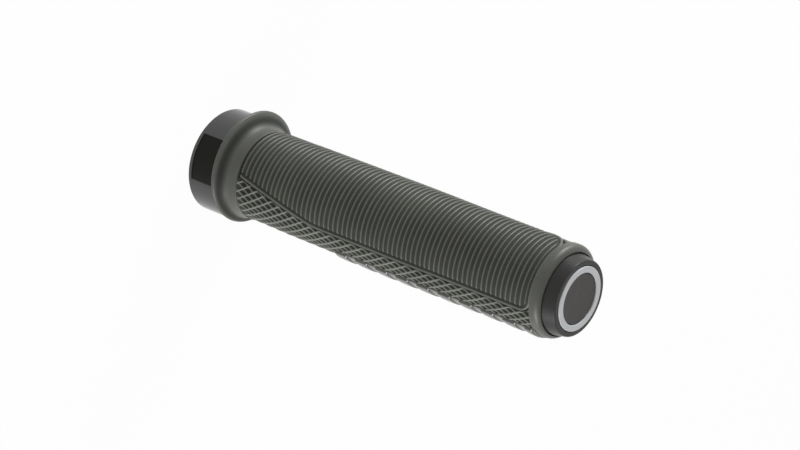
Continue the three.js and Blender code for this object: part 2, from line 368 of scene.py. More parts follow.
def makeToneShift():
    # Cloudy lighter and darker patches over a colour.
    group, entry, leave = shaderGroup(
        "toneShift", {"Color": (0.5, 0.5, 0.5, 1.0), "Scale": 60.0, "Amount": 0.1},
        {"Color": "NodeSocketColor"})
    cloud = noiseOf(group, entry.outputs["Scale"], 3.0)
    amount = Field(group, entry.outputs["Amount"])
    value = 1 + ease(cloud, *noiseRange["cloud"], -1.0, 1.0) * amount
    shifted = addNode(group, "ShaderNodeHueSaturation",
                      {"Color": entry.outputs["Color"], "Value": value})
    group.links.new(shifted.outputs["Color"], leave.inputs["Color"])
    return group


def makeGrain():
    # Fine texture of a moulded or blasted surface: a height and a mask for roughness.
    group, entry, leave = shaderGroup(
        "surfaceGrain", {"Scale": 4000.0, "Pits": 0.3},
        {"Height": "NodeSocketFloat", "Mask": "NodeSocketFloat"})
    scale = Field(group, entry.outputs["Scale"])
    fine = noiseOf(group, scale, 3.0, 0.6)
    broad = noiseOf(group, scale * pitScale, 2.0)
    pits = ease(broad, *noiseRange["pits"], 1.0, 0.0) * Field(group, entry.outputs["Pits"])
    feed(group, leave.inputs["Height"], fine - pits)
    mixed = fine * fineShare + broad * (1 - fineShare)
    feed(group, leave.inputs["Mask"], ease(mixed, *noiseRange["grain"]))
    return group


def makeEdgeWear():
    # Mask of the raised edges, broken up so that it isn't an even line.
    group, entry, leave = shaderGroup(
        "edgeWear", {"Start": 0.51, "End": 0.56, "Amount": 0.5, "Scale": 900.0},
        {"Mask": "NodeSocketFloat"})
    raised = Field(group, group.nodes.new("ShaderNodeNewGeometry").outputs["Pointiness"])
    edge = ease(raised, entry.outputs["Start"], entry.outputs["End"])
    patches = ease(noiseOf(group, entry.outputs["Scale"], 4.0), *noiseRange["patches"])
    feed(group, leave.inputs["Mask"], edge * patches * Field(group, entry.outputs["Amount"]))
    return group


toneShift, surfaceGrain, edgeWear = makeToneShift(), makeGrain(), makeEdgeWear()


def tint(red, green, blue):
    # A colour as it looks on screen, from 0 to 255, in the linear values that the shader takes.
    def linear(value):
        value /= 255
        return value / 12.92 if value <= 0.04045 else ((value + 0.055) / 1.055) ** 2.4
    return linear(red), linear(green), linear(blue), 1.0


def placeGroup(tree, group, values):
    return addNode(tree, "ShaderNodeGroup", values, node_tree=group)


def blendColors(tree, share, first, second):
    node = addNode(tree, "ShaderNodeMix", data_type="RGBA", blend_type="MIX")
    for socket, value in zip((s for s in node.inputs if s.enabled), (share, first, second)):
        feed(tree, socket, value)
    return next(s for s in node.outputs if s.enabled)


def makeFinish(name, look):
    material = bpy.data.materials.new(name)
    material.use_nodes = True
    tree = material.node_tree
    shader = tree.nodes["Principled BSDF"]
    color, coat = look["color"], look.get("coat", 0.0)
    if "litColor" in look:  # marked parts get the lighter colour as painted light, and more coat; the base colour is painted shade
        marks = addNode(tree, "ShaderNodeAttribute", attribute_name="litMark")
        litMark = Field(tree, marks.outputs["Fac"])
        color = blendColors(tree, ease(litMark, *look["litRange"]), color, look["litColor"])
        coat = ease(litMark, *look["litRange"], 0.0, coat)
    tone = placeGroup(tree, toneShift, {"Color": color, "Scale": look["toneScale"],
                                        "Amount": look["toneAmount"]})
    wear = placeGroup(tree, edgeWear, {"Start": look["wearStart"], "End": look["wearEnd"],
                                       "Amount": look["wearAmount"]})
    feed(tree, shader.inputs["Base Color"],
         blendColors(tree, wear.outputs["Mask"], tone.outputs["Color"], look["wornColor"]))
    grain = placeGroup(tree, surfaceGrain, {"Scale": look["grainScale"], "Pits": look["pits"]})
    spread = look["roughnessSpread"]
    rough = ease(Field(tree, grain.outputs["Mask"]), 0.0, 1.0, look["roughness"] - spread,
                 look["roughness"] + spread, "LINEAR")
    feed(tree, shader.inputs["Roughness"], rough)
    bump = addNode(tree, "ShaderNodeBump", {
        "Strength": look["grainStrength"], "Distance": look["grainDepth"] * millimetre,
        "Height": grain.outputs["Height"]})
    tree.links.new(bump.outputs["Normal"], shader.inputs["Normal"])
    shader.inputs["Metallic"].default_value = look.get("metallic", 0.0)
    shader.inputs["Specular IOR Level"].default_value = look.get("specular", 0.5)
    feed(tree, shader.inputs["Coat Weight"], coat)
    shader.inputs["Coat Roughness"].default_value = look.get("coatRoughness", 0.1)
    material.diffuse_color = look["color"]
    return material


rubberTexture = {
    "coatRoughness": 0.42, "roughnessSpread": 0.07, "toneScale": 70.0, "toneAmount": 0.1,
    "wearStart": 0.56, "wearEnd": 0.66, "wearAmount": 0.3,
    "grainScale": 5200.0, "grainDepth": 0.05, "grainStrength": 0.3, "pits": 0.3,
}

finishes = {
    "sleeveRubber": {
        **rubberTexture,
        # Painted light: the lighter colour is a painted highlight on the rib crests and the bead, the
        # darker base colour painted shade in the grooves.
        "color": tint(68, 70, 64), "litColor": tint(89, 91, 84), "litRange": (0.35, 1.0),
        "wornColor": tint(110, 112, 104), "roughness": 0.6,
        "specular": 0.1, "coat": 0.9,
    },
    "knurlRubber": {
        **rubberTexture,
        # Painted highlight on the knurl's ridges, over a base colour that is painted shade in the
        # cells.
        "color": tint(64, 66, 61), "litColor": tint(117, 119, 111), "litRange": (0.5, 1.0),
        "wornColor": tint(128, 130, 122), "roughness": 0.6,
        "specular": 0.1, "coat": 0.9,
    },
    "smoothRubber": {
        **rubberTexture,
        # Painted shade: the darker base colour is a band painted in the steep part behind the lip;
        # the lighter colour covers the rest.
        "color": tint(50, 52, 48), "litColor": tint(77, 79, 73), "litRange": (0.0, 1.0),
        "wornColor": tint(110, 112, 104), "roughness": 0.55,
        "wearStart": 0.57, "wearEnd": 0.68, "wearAmount": 0.1,
        "specular": 0.12, "coat": 0.7,
    },
    "padRubber": {
        **rubberTexture,
        # Painted highlight: the lighter colour lies along the pads' edges.
        "color": tint(62, 64, 58), "litColor": tint(92, 94, 86), "litRange": (0.5, 1.0),
        "wornColor": tint(98, 100, 92), "roughness": 0.15, "roughnessSpread": 0.04,
        "grainDepth": 0.03, "grainStrength": 0.1, "pits": 0.2,
        "specular": 0.65, "coatRoughness": 0.1,
    },
    "clampAnodised": {
        "color": tint(13, 13, 14), "wornColor": tint(120, 120, 124),
        "roughness": 0.11, "roughnessSpread": 0.03, "toneScale": 90.0, "toneAmount": 0.06,
        "wearStart": 0.55, "wearEnd": 0.66, "wearAmount": 0.4,
        "grainScale": 9000.0, "grainDepth": 0.02, "grainStrength": 0.15, "pits": 0.15,
        "specular": 0.82,
    },
    "clampPanel": {
        "color": tint(16, 16, 13), "wornColor": tint(50, 50, 46),
        "roughness": 0.36, "roughnessSpread": 0.06, "toneScale": 120.0, "toneAmount": 0.12,
        "wearStart": 0.55, "wearEnd": 0.66, "wearAmount": 0.2,
        "grainScale": 8000.0, "grainDepth": 0.02, "grainStrength": 0.25, "pits": 0.2,
        "specular": 0.12,
    },
    "screwSteel": {
        "color": tint(62, 62, 66), "wornColor": tint(150, 150, 152), "metallic": 0.9,
        "roughness": 0.36, "roughnessSpread": 0.08, "toneScale": 500.0, "toneAmount": 0.15,
        "wearStart": 0.52, "wearEnd": 0.6, "wearAmount": 0.6,
        "grainScale": 7000.0, "grainDepth": 0.03, "grainStrength": 0.4, "pits": 0.3,
    },
    "coreNylon": {
        "color": tint(40, 40, 39), "wornColor": tint(72, 72, 70),
        "roughness": 0.55, "roughnessSpread": 0.08, "toneScale": 90.0, "toneAmount": 0.1,
        "wearStart": 0.53, "wearEnd": 0.62, "wearAmount": 0.3,
        "grainScale": 4200.0, "grainDepth": 0.04, "grainStrength": 0.35, "pits": 0.35,
    },
    "capPlastic": {
        "color": tint(33, 31, 30), "wornColor": tint(80, 78, 76),
        "roughness": 0.36, "roughnessSpread": 0.06, "toneScale": 110.0, "toneAmount": 0.08,
        "wearStart": 0.54, "wearEnd": 0.64, "wearAmount": 0.35,
        "grainScale": 6500.0, "grainDepth": 0.03, "grainStrength": 0.3, "pits": 0.2,
        "specular": 0.32,
    },
    "capCentre": {
        "color": tint(56, 53, 52), "wornColor": tint(86, 84, 82),
        "roughness": 0.5, "roughnessSpread": 0.06, "toneScale": 140.0, "toneAmount": 0.08,
        "wearStart": 0.54, "wearEnd": 0.64, "wearAmount": 0.2,
        "grainScale": 5200.0, "grainDepth": 0.04, "grainStrength": 0.4, "pits": 0.3,
        "specular": 0.4,
    },
    "ringInlay": {
        "color": tint(222, 224, 227), "wornColor": tint(226, 227, 229),
        "roughness": 0.45, "roughnessSpread": 0.05, "toneScale": 160.0, "toneAmount": 0.03,
        "wearStart": 0.54, "wearEnd": 0.64, "wearAmount": 0.4,
        "grainScale": 7000.0, "grainDepth": 0.02, "grainStrength": 0.25, "pits": 0.1,
        "specular": 0.4,
    },
}
material = {name: makeFinish(name, look) for name, look in finishes.items()}
print("finishes", len(material))


# Lines that bound the ribbed panel, shared by the ribs, the knurling and the pads.
pattern = {
    "patternStart": 19.25,
    "patternEnd": 132.3,
    "surfaceRadius": 14.4,  # where distances round the bar are measured
    "seamStart": 12.0,
    "seamSlope": 0.9,
    "seamAngle": 39.5,
    "seamBlend": 4.0,
    "farSeamAngle": -115.0,
    "farCornerLength": 40.0,
    "farCornerTurn": 65.0,
    "cornerRadius": 3.5,
    "acuteRadius": 0.8,
    "leastReach": 0.01,  # these two keep the far bead's distance from dividing by 0
    "leastSteepness": 1e-8,
    "coveEnd": 18.2,
    "swell": 0.22,  # fuller under the palm, slimmer at the outboard end
    "swellTo": 38.2,
    "taper": 0.37,
    "taperFrom": 72.2,
    "taperTo": 118.2,
    "lean": 0.25,  # towards -Y at the outboard end
}


def fullness(size, turn, height):
    rise = size["swell"] * ease(height, size["coveEnd"], size["swellTo"])
    fall = size["taper"] * ease(height, size["taperFrom"], size["taperTo"])
    lean = size["lean"] * (height - size["coveEnd"]) / (size["patternEnd"] - size["coveEnd"])
    return rise - fall - lean * maths(height.tree, "SINE", turn * (math.pi / 180))


def roundedLesser(a, b, radius):
    # Distance inside two edges that meet in a rounded corner.
    x, y = radius - a, radius - b
    reach = root(larger(x, 0) ** 2 + larger(y, 0) ** 2)
    return radius - reach - lesser(larger(x, y), 0)


def seamLine(size, height):
    slanted = size["seamStart"] + size["seamSlope"] * (height - size["patternStart"])
    return maths(height.tree, "SMOOTH_MIN", slanted, size["seamAngle"], size["seamBlend"])


def farLine(size, height):
    return size["farSeamAngle"] + size["seamAngle"] - seamLine(size, height)


def perDegree(size):
    return size["surfaceRadius"] * (math.pi / 180)


def nearDistance(size, turn, height):
    # Millimetres inside the near bead's crest, less than 0 outside it.
    side = (seamLine(size, height) - turn) * perDegree(size)
    return roundedLesser(side, size["patternEnd"] - height, size["cornerRadius"])


def farDistance(size, turn, height):
    # The same for the far bead, whose outboard corner is a long quarter of an ellipse.
    scale = perDegree(size)
    long, wide = size["farCornerLength"], size["farCornerTurn"] * scale
    x = larger(height - size["patternEnd"] + long, 0)
    y = larger(wide - (turn - farLine(size, height)) * scale, 0)
    reach = root((x / long) ** 2 + (y / wide) ** 2)
    slopes = (x / (long * long)) ** 2 + (y / (wide * wide)) ** 2
    steepness = root(slopes + size["leastSteepness"])
    return (1 - reach) * larger(reach, size["leastReach"]) / steepness


palmRibs = {
    "columns": 74,
    "rows": 524,
    "ribPitch": 1.75,
    "lastRib": 130.6,
    "ribTilt": 0.45,
    "wideRibs": 71.0,  # inboard of here the ribs lie a little further apart
    "wideRun": 45.0,
    "wideGain": 2.5,
    "widePower": 1.1,
    "rowsInPitch": 8,
    "rowsPastLast": 10,
    "crowding": 0.12,  # mesh lines lie closer together at both edges
    "cornerLead": 0.8,
    "cornerMost": 0.995,
    "ribSharpness": 1.7,
    "ribFloor": 13.85,
    "ribDepth": 0.65,
    "ribEndStart": 0.85,
    "ribEndLength": 0.85,
    "beadRise": 0.75,
    "beadEndDrop": 0.3,
    "dropFrom": 2.5,  # inboard of the pattern's end
    "dropTo": 0.3,
    "beadInner": 0.9,
    "beadOuter": 0.62,
    "beadCrown": 0.14,
    "outerFloor": 13.2,
    "under": 12.7,
    "margin": 3.4,
}


def makePalmRibs():
    sizes = {**pattern, **palmRibs}
    tree, size, finish = startTree("palmRibs", sizes)
    grid, u, v = unitGrid(tree, size["columns"], size["rows"])
    step = size["ribPitch"] / size["rowsInPitch"]
    height = size["lastRib"] + size["rowsPastLast"] * step - (1 - v) * (size["rows"] - 1) * step
    into = height - size["patternEnd"] + size["farCornerLength"] - size["cornerLead"]
    into = lesser(larger(into / size["farCornerLength"], 0), size["cornerMost"])
    far = farLine(size, height) + size["farCornerTurn"] * (1 - root(1 - into ** 2)) - size["margin"]
    near = seamLine(size, height) + size["margin"]
    across = u - size["crowding"] * maths(tree, "SINE", u * (2 * math.pi))
    sheet = store(tree, grid, "turn", far + (near - far) * across)
    sheet = store(tree, sheet, "height", height)

    turn, height = stored(tree, "turn"), stored(tree, "height")
    side = lesser(nearDistance(size, turn, height), farDistance(size, turn, height))
    edge = roundedLesser(side, height - size["patternStart"], size["acuteRadius"])
    tilt = size["ribTilt"] * maths(tree, "COSINE", turn * (math.pi / 180))
    inboard = larger((size["wideRibs"] - height) / size["wideRun"], 0)
    gain = size["wideGain"] * inboard ** size["widePower"]
    phase = (height + gain - tilt - size["lastRib"]) / size["ribPitch"] * (2 * math.pi)
    wave = (0.5 + 0.5 * maths(tree, "COSINE", phase)) ** size["ribSharpness"]
    run = ease(side, size["ribEndStart"], size["ribEndStart"] + size["ribEndLength"], kind="LINEAR")
    rib = wave * root(1 - (1 - run) ** 2)
    bead = ease(side, size["beadInner"], size["beadCrown"])
    drop = ease(height, size["patternEnd"] - size["dropFrom"], size["patternEnd"] - size["dropTo"])
    outside = ease(edge, -1 * size["beadOuter"], -1 * size["beadCrown"])
    lift = size["ribFloor"] - size["outerFloor"] + size["ribDepth"] * rib
    lift = lift + (size["beadRise"] - size["beadEndDrop"] * drop) * bead
    # Painted highlight: the rib crests and the bead's crest are marked for the lighter colour, so the
    # grooves keep the darker colour as painted shade.
    sheet = store(tree, sheet, "litMark", larger(rib, bead * outside))
    radius = size["outerFloor"] + lift * outside + fullness(size, turn, height)
    shape = closeSheet(tree, sheet, size["under"], radius)
    endTree(tree, shape, finish)
    return grow("palmRibs", tree, sizes, material["sleeveRubber"])


diamondKnurl = {
    "cellsAcross": 55,
    "cellsAlong": 49,
    "cellSteps": 7,
    "gather": 0.62,  # how far the mesh lines crowd towards the ridges
    "nodeHeight": 19.0,
    "nodeTurn": 43.0,
    "cellLength": 4.25,
    "cellTurn": 5.35,
    "firstRow": -4.0,
    "firstColumn": -20.0,
    "ridgeSpacing": 2.23,
    "risingWidth": 0.62,
    "fallingWidth": 0.5,
    "ridgeCrown": 0.1,
    "floor": 13.35,
    "risingDepth": 0.9,
    "fallingDepth": 0.78,
    "fadeStart": 0.5,
    "fadeEnd": 0.95,
    "startLap": 2.0,  # the sheet runs under the cove, the collar and the panel
    "endLap": 0.9,
    "sideLap": 0.3,
    "endFadeFrom": 0.3,
    "endFadeTo": 0.1,
    "startFill": 0.65,  # the cells are shallower beside the cove
    "fillFrom": 1.4,
    "fillTo": 0.6,
    # share of the painted highlight that the falling ridges get
    "crossHighlight": 0.9,
    "under": 12.7,
    "bedStart": 57.5,
    "bedFrom": 70.0,
    "bedTo": 203.0,
}


def makeDiamondKnurl():
    sizes = {**pattern, **diamondKnurl}
    tree, size, finish = startTree("diamondKnurl", sizes)
    steps = size["cellSteps"]
    grid, u, v = unitGrid(tree, size["cellsAcross"] * steps + 1, size["cellsAlong"] * steps + 1)

    def gathered(cells):
        return cells - size["gather"] / (2 * math.pi) * maths(tree, "SINE", cells * (2 * math.pi))

    rising = gathered(u * size["cellsAcross"] + size["firstRow"])
    falling = gathered(v * size["cellsAlong"] + size["firstColumn"])
    sheet = store(tree, grid, "turn", size["nodeTurn"] + size["cellTurn"] * (rising - falling))
    middle = size["nodeHeight"] + size["cellLength"] / 2 * (rising + falling)
    sheet = store(tree, sheet, "height", middle)
    sheet = store(tree, sheet, "rising", rising)
    sheet = store(tree, sheet, "falling", falling)

    turn, height = stored(tree, "turn"), stored(tree, "height")
    near = nearDistance(size, turn, height)
    far = farDistance(size, turn - 360, height)
    edge = larger(near, far)
    outside = larger(below(height, size["patternStart"] - size["startLap"]),
                     below(size["patternEnd"] + size["endLap"], height))
    outside = larger(outside, below(-1 * size["sideLap"], edge))
    bed = below(size["bedStart"], height) * below(size["bedFrom"], turn) * below(turn, size["bedTo"])
    outside = larger(outside, bed)
    sheet = addNode(tree, "GeometryNodeDeleteGeometry", {"Geometry": sheet, "Selection": outside},
                    domain="POINT").outputs["Geometry"]

    def ridge(name, width):
        cells = stored(tree, name)
        away = maths(tree, "ABSOLUTE", cells - maths(tree, "ROUND", cells)) * size["ridgeSpacing"]
        return ease(away, width, size["ridgeCrown"])

    fade = ease(edge, -1 * size["fadeStart"], -1 * size["fadeEnd"])
    fade = fade * ease(height, size["patternEnd"] + size["endFadeFrom"],
                       size["patternEnd"] - size["endFadeTo"])
    main = ridge("rising", size["risingWidth"])
    cross = ridge("falling", size["fallingWidth"])
    lift = larger(main * size["risingDepth"], cross * size["fallingDepth"]) * fade
    # Painted highlight on the knurl's ridges, a little less on the falling ones; the cells keep the
    # darker colour as painted shade.
    sheet = store(tree, sheet, "litMark", larger(main, size["crossHighlight"] * cross) * fade)
    filled = size["startFill"] * ease(height, size["patternStart"] + size["fillFrom"],
                                      size["patternStart"] - size["fillTo"])
    radius = size["floor"] + larger(lift, filled) + fullness(size, turn, height)
    shape = closeSheet(tree, sheet, size["under"], radius)
    endTree(tree, forget(tree, shape, "rising", "falling"), finish)
    return grow("diamondKnurl", tree, sizes, material["knurlRubber"])


fingerPads = {
    "columns": 90,
    "rows": 306,
    "bedStart": 56.0,
    "bedEnd": 132.9,
    "bedFrom": 66.6,
    "bedTo": 206.4,
    "padFrom": 68.0,
    "padTo": 205.0,
    "firstPad": 56.7,
    "lastPadEnd": 132.2,
    "padPitch": 8.0,
    "padLength": 5.4,
    "padRound": 1.1,
    "padSlope": 0.5,
    "under": 12.7,
    "foot": 13.2,
    "floor": 14.45,
    "rise": 0.5,
    "crown": 0.06,
    "crownFrom": 0.4,
    "crownTo": 2.6,
    "bedSlope": 0.45,
    # a lighter band along each pad's edge, a painted highlight
    "highlightFrom": 1.1,
    "highlightTo": 0.35,
    "crowding": 0.13,
}


def makeFingerPads():
    sizes = {**pattern, **fingerPads}
    tree, size, finish = startTree("fingerPads", sizes)
    grid, u, v = unitGrid(tree, size["columns"], size["rows"])
    across = u - size["crowding"] * maths(tree, "SINE", u * (2 * math.pi))
    sheet = store(tree, grid, "turn", size["bedFrom"] + (size["bedTo"] - size["bedFrom"]) * across)
    sheet = store(tree, sheet, "height", size["bedStart"] + (size["bedEnd"] - size["bedStart"]) * v)

    turn, height = stored(tree, "turn"), stored(tree, "height")
    scale = perDegree(size)
    bedSide = lesser(turn - size["bedFrom"], size["bedTo"] - turn) * scale
    bedEdge = lesser(bedSide, height - size["bedStart"])
    side = lesser(turn - size["padFrom"], size["padTo"] - turn) * scale
    along = maths(tree, "FLOORED_MODULO", height - size["firstPad"], size["padPitch"])
    ends = lesser(lesser(along, size["padLength"] - along), size["lastPadEnd"] - height)
    ends = lesser(ends, height - size["firstPad"])
    edge = roundedLesser(side, ends, size["padRound"])
    pad = ease(edge, 0.0, size["padSlope"])
    crown = ease(edge, size["crownFrom"], size["crownTo"]) * size["crown"]
    bed = ease(bedEdge, 0.0, size["bedSlope"])
    radius = size["foot"] + (size["floor"] - size["foot"]) * bed
    radius = radius + (size["rise"] - size["crown"]) * pad + crown
    # Painted highlight: a lighter band along each pad's edge.
    sheet = store(tree, sheet, "litMark", pad * ease(edge, size["highlightFrom"], size["highlightTo"]))
    shape = closeSheet(tree, sheet, size["under"], radius + fullness(size, turn, height))
    endTree(tree, shape, finish)
    return grow("fingerPads", tree, sizes, material["padRubber"])


seat(makePalmRibs(), "rubber_sleeve", "sleeve_rubber")
seat(makeDiamondKnurl(), "rubber_sleeve", "sleeve_rubber")
seat(makeFingerPads(), "rubber_sleeve", "sleeve_rubber")


sleeveBody = {
    "bore": 12.55,
    "boreBevel": 0.3,
    "mouth": 12.65,
    "start": 10.5,
    "end": 135.7,
    "flangeRadius": 18.2,
    "flangeShift": 1.1,
    "lipRise": 0.78,
    "lipDepth": 1.4,
    "lipShare": 1.3,  # the flat underside stops this many lip depths from the edge
    "lipCrown": 1.05,
    "lipDrop": 1.15,
    "coveLength": 5.87,
    "covePower": 2.9,
    "shadeFrom": 17.6,  # painted shade: a darker band, with less coat, in the steep part behind the lip
    "shadeTo": 14.9,
    "shadePower": 0.6,
    "foot": 14.45,
    "tuck": ((0.04, 0.06), (0.2, 0.14), (0.6, 0.2)),  # in and up, from the cove's foot
    "tuckEnd": 0.3,
    "under": 12.8,
    "collar": 14.18,
    "collarShift": 0.4,
    "collarFoot": 131.85,
    "collarStart": 132.35,
    "collarPower": 1.3,
    "collarFlat": 0.2,
    "noseStart": 133.8,
    "nosePower": 1.3,
    "mouthEdge": 0.1,
    "mouthDepth": 0.9,
    "lipSteps": 8,
    "coveSteps": 32,
    "collarSteps": 8,
    "noseSteps": 16,
    "segments": 256,
}


def makeSleeveBody():
    s = sleeveBody
    lipSteps, coveSteps = s["lipSteps"], s["coveSteps"]
    collarSteps, noseSteps = s["collarSteps"], s["noseSteps"]
    crownHeight = s["start"] + s["lipRise"]
    coveStart = crownHeight + s["lipCrown"]
    shoulder = s["flangeRadius"] - s["lipDrop"]
    flange, collar = s["flangeShift"], s["collarShift"]
    stations = [(s["bore"], s["start"] + s["boreBevel"], 0),
                (s["bore"] + s["boreBevel"], s["start"], 0),
                (s["flangeRadius"] - s["lipShare"] * s["lipDepth"], s["start"], flange)]
    for i in range(lipSteps + 1):  # underside of the lip to its crown
        angle = math.pi / 2 * i / lipSteps
        stations.append((s["flangeRadius"] - s["lipDepth"] * (1 - math.sin(angle)),
                         crownHeight - s["lipRise"] * math.cos(angle), flange))
    for i in range(1, lipSteps):  # over the crown into the cove
        t = i / lipSteps
        stations.append((s["flangeRadius"] - s["lipDrop"] * t ** 2,
                         crownHeight + s["lipCrown"] * t, flange))
    for i in range(coveSteps + 1):
        t = i / coveSteps
        share = (1 - t) ** s["covePower"]
        stations.append((s["foot"] + (shoulder - s["foot"]) * share, coveStart + t * s["coveLength"],
                         flange * share))
    footEnd = coveStart + s["coveLength"]
    stations += [(s["foot"] - inward, footEnd + upward, 0) for inward, upward in s["tuck"]]
    stations += [(s["under"], footEnd + s["tuckEnd"], 0), (s["under"], s["collarFoot"], 0)]
    for i in range(1, collarSteps):  # up to the collar
        share = math.sin(math.pi / 2 * i / collarSteps)
        climb = (s["collarStart"] - s["collarFoot"]) * (i / collarSteps) ** s["collarPower"]
        stations.append((s["under"] + (s["collar"] - s["under"]) * share,
                         s["collarFoot"] + climb, collar * share))
    stations += [(s["collar"], s["collarStart"], collar),
                 (s["collar"], s["collarStart"] + s["collarFlat"], collar),
                 (s["collar"], s["noseStart"] - s["collarFlat"], collar)]
    for i in range(noseSteps + 1):  # rounded outer end
        angle = math.pi / 2 * i / noseSteps
        share = math.cos(angle) ** s["nosePower"] if i < noseSteps else 0
        stations.append((s["mouth"] + (s["collar"] - s["mouth"]) * share,
                         s["noseStart"] + (s["end"] - s["noseStart"]) * math.sin(angle),
                         collar * share))
    stations += [(s["mouth"], s["end"] - s["mouthEdge"], 0),
                 (s["mouth"], s["end"] - s["mouthDepth"], 0),
                 (s["bore"], s["end"] - s["mouthDepth"], 0)]

    def shape(radius, height, turn, station):
        return radius - stations[station][2] * math.sin(math.radians(turn))

    piece = turnedPiece("sleeveBody", [p[:2] for p in stations], evenTurns(s["segments"]), shape)
    smoothPiece(piece, 50)
    # Painted shade: the steep part behind the lip is marked 0 for the darker colour, the rest 1 for
    # the lighter.
    tone = piece.data.attributes.new("litMark", "FLOAT", "POINT")
    middle = (s["shadeFrom"] + s["shadeTo"]) / 2
    for point, mark in zip(piece.data.vertices, tone.data):
        x, y, height = point.co / millimetre
        share = min(max((height - crownHeight) / (footEnd - crownHeight), 0), 1)
        radius = math.hypot(x, y + flange * (1 - share) ** s["covePower"])
        shade = max(1 - abs(radius - middle) / (s["shadeFrom"] - middle), 0) ** s["shadePower"]
        mark.value = 1 - shade * (crownHeight < height < footEnd)
    return piece


seat(makeSleeveBody(), "rubber_sleeve", "sleeve_rubber", material["smoothRubber"])


clampRing = {
    "inner": 11.25,
    "outer": 16.7,
    "length": 10.2,
    "chamfer": 0.15,
    "edge": 0.06,
    "slotWidth": 1.6,
    "panelFrom": -18.0,
    "panelTo": 35.0,
    "panelMargin": 1.3,
    "panelRim": 0.3,
    "panelDepth": 0.2,
    "panelWall": 0.06,
    "panelSide": 0.25,  # degrees over which the panel's ends step down
    "tolerance": 1e-4,
    "skin": 0.01,
    "boreRadius": 1.8,
    "headRadius": 3.05,
    "seat": 4.2,
    "boreEnd": -7.8,
    "pocketRadius": 12.55,
    "pocketHalfTurn": 14.4,
    "pocketFloor": 7.7,
    "past": 1.0,  # how far the cutters go past the ring
    "segments": 240,
}


def makeClampRing():
    s = clampRing
    inner, outer, length, c, edge = s["inner"], s["outer"], s["length"], s["chamfer"], s["edge"]
    wall, near, past = s["panelWall"], s["tolerance"], s["past"]
    low, high = s["panelMargin"], length - s["panelRim"]
    corners = [
        (inner + c / 2, 0, edge), (outer - c, 0, edge), (outer, c, edge), (outer, low, 0),
        (outer, low + wall, 0), (outer, high - wall, 0), (outer, high, 0),
        (outer, length - c / 2, edge / 2), (outer - c / 2, length, edge / 2),
        (inner + c / 2, length, edge / 2), (inner, length - c / 2, edge / 2), (inner, c / 2, edge),
    ]

    def inPanel(radius, height, turn):
        turn = turn - 360 if turn > 180 else turn
        return (radius > outer - s["skin"] and low + wall - near < height < high - wall + near
                and s["panelFrom"] - near < turn < s["panelTo"] + near)

    def shape(radius, height, turn, station):
        return radius - s["panelDepth"] if inPanel(radius, height, turn) else radius

    turns = sorted(evenTurns(s["segments"])
                   + [s["panelFrom"] - s["panelSide"] + 360, s["panelTo"] + s["panelSide"]])
    ring = turnedPiece("clampRing", rounded(corners, 4), turns, shape)
    axis = (-(inner + outer) / 2 * millimetre, 0, length / 2 * millimetre)
    alongY = Matrix.Translation(axis) @ Matrix.Rotation(-math.pi / 2, 4, "X")
    slot = addPiece("slotCutter", bpy.data.meshes.new("slotCutter"))
    work = bmesh.new()
    bmesh.ops.create_cube(work, size=1)
    work.to_mesh(slot.data)
    work.free()
    reach = outer - inner + 2 * past
    placeMesh(slot, Matrix.Translation((-outer * millimetre, 0, axis[2]))
              @ Matrix.Diagonal((2 * reach * millimetre, s["slotWidth"] * millimetre,
                                 (length + 2 * past) * millimetre, 1)))
    bore = straightRod("boreCutter", s["boreRadius"], s["boreEnd"], s["seat"] + past, 48)
    head = straightRod("headCutter", s["headRadius"], s["seat"], outer, 64)
    cutters = [slot, placeMesh(bore, alongY), placeMesh(head, alongY)]
    for middle in (0, 120, 240):
        cutters.append(arcBlock("pocketCutter", inner - past, s["pocketRadius"],
                                middle - s["pocketHalfTurn"], middle + s["pocketHalfTurn"],
                                s["pocketFloor"], length + past))
    cutAway(ring, cutters)
    smoothPiece(ring, 32)
    ring.data.materials.clear()
    ring.data.materials.append(material["clampAnodised"])
    ring.data.materials.append(material["clampPanel"])
    panel = outer - s["panelDepth"]
    for face in ring.data.polygons:
        points = [ring.data.vertices[i].co / millimetre for i in face.vertices]
        sunk = all(abs(math.hypot(p.x, p.y) - panel) < s["skin"] / 2 for p in points)
        bevel = all(p.z < c + edge and math.hypot(p.x, p.y) > outer - c - edge for p in points)
        face.material_index = int(sunk or bevel)  # the inboard bevel is dull too
    return ring


seat(makeClampRing(), "clamp_ring", "anodised_aluminium")


clampScrew = {
    "radius": 1.5,
    "threadPitch": 0.5,
    "threadDepth": 0.28,
    "threadStep": 0.1,
    "threadFrom": 0.35,
    "threadGap": 0.6,
    "tipLength": 0.4,
    "tipShares": (0.6, 0.8),  # of the radius, at the end and half-way up the tip
    "length": 11.0,
    "headRadius": 2.75,
    "headHeight": 3.0,
    "seat": 4.35,
    "socketWidth": 2.5,
    "socketDepth": 1.6,
    "edge": 0.3,
    "seatEdge": 0.12,
    "knurls": 36,
    "knurlDepth": 0.07,
    "knurlFrom": 0.4,
    "knurlTo": 0.7,
    "place": (-13.975, 0.0, 5.1),
}


